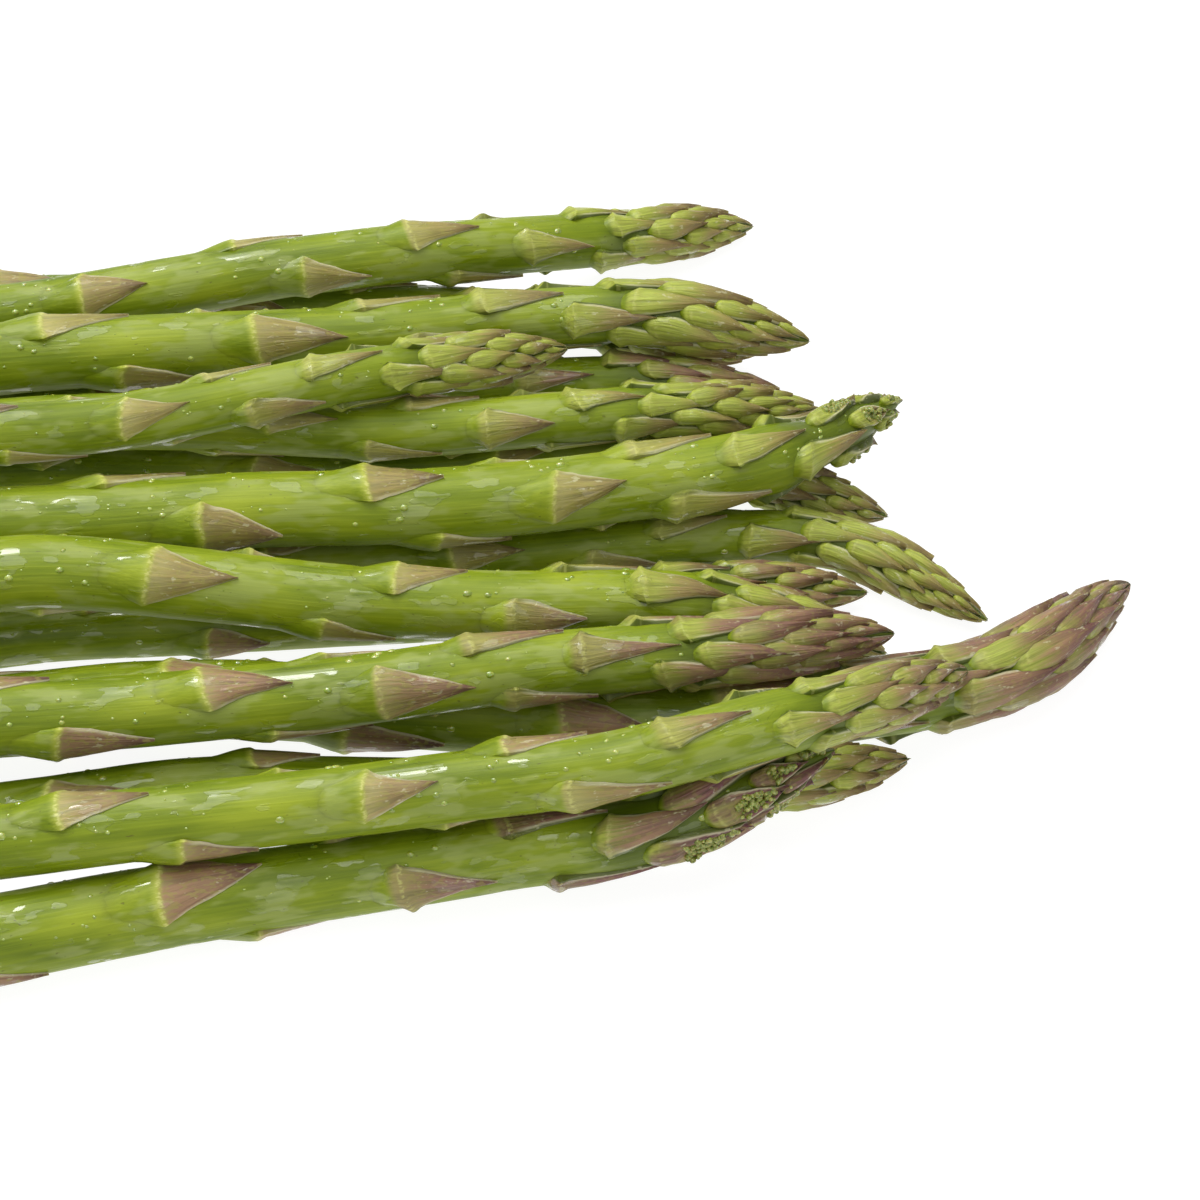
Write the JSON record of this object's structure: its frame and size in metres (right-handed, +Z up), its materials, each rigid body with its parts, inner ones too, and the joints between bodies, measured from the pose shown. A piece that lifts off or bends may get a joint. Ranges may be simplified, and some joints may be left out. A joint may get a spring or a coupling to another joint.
{
  "type": "bunch of asparagus",
  "caption": "Loose bunch of green asparagus spears lying in two layers, with pointed scale leaves up their stems and closed tips at one end.",
  "frame": {"origin": "on the surface that the bunch lies on, under the middle of its box", "axes": "+X along the spears from cut ends to tips, +Y across the bunch, +Z up"},
  "size_m": [0.2708, 0.1757, 0.049],
  "materials": {
    "green_spear": "fresh yellow-green skin with fine lengthwise streaks, a wet sheen, and grey-brown pointed scales with pale green bases",
    "purple_tinged_spear": "fresh green skin with fine lengthwise streaks, a wet sheen, and purple-brown pointed scales with pale green bases"
  },
  "bodies": {
    "root": {"spear_01": "green_spear", "spear_02": "purple_tinged_spear", "spear_03": "green_spear", "spear_04": "green_spear", "spear_05": "purple_tinged_spear", "spear_06": "purple_tinged_spear", "spear_07": "green_spear", "spear_08": "purple_tinged_spear", "spear_09": "green_spear", "spear_10": "green_spear", "spear_11": "green_spear", "spear_12": "green_spear", "spear_13": "green_spear", "spear_14": "purple_tinged_spear", "spear_15": "purple_tinged_spear", "spear_16": "green_spear"}
  },
  "joints": []
}
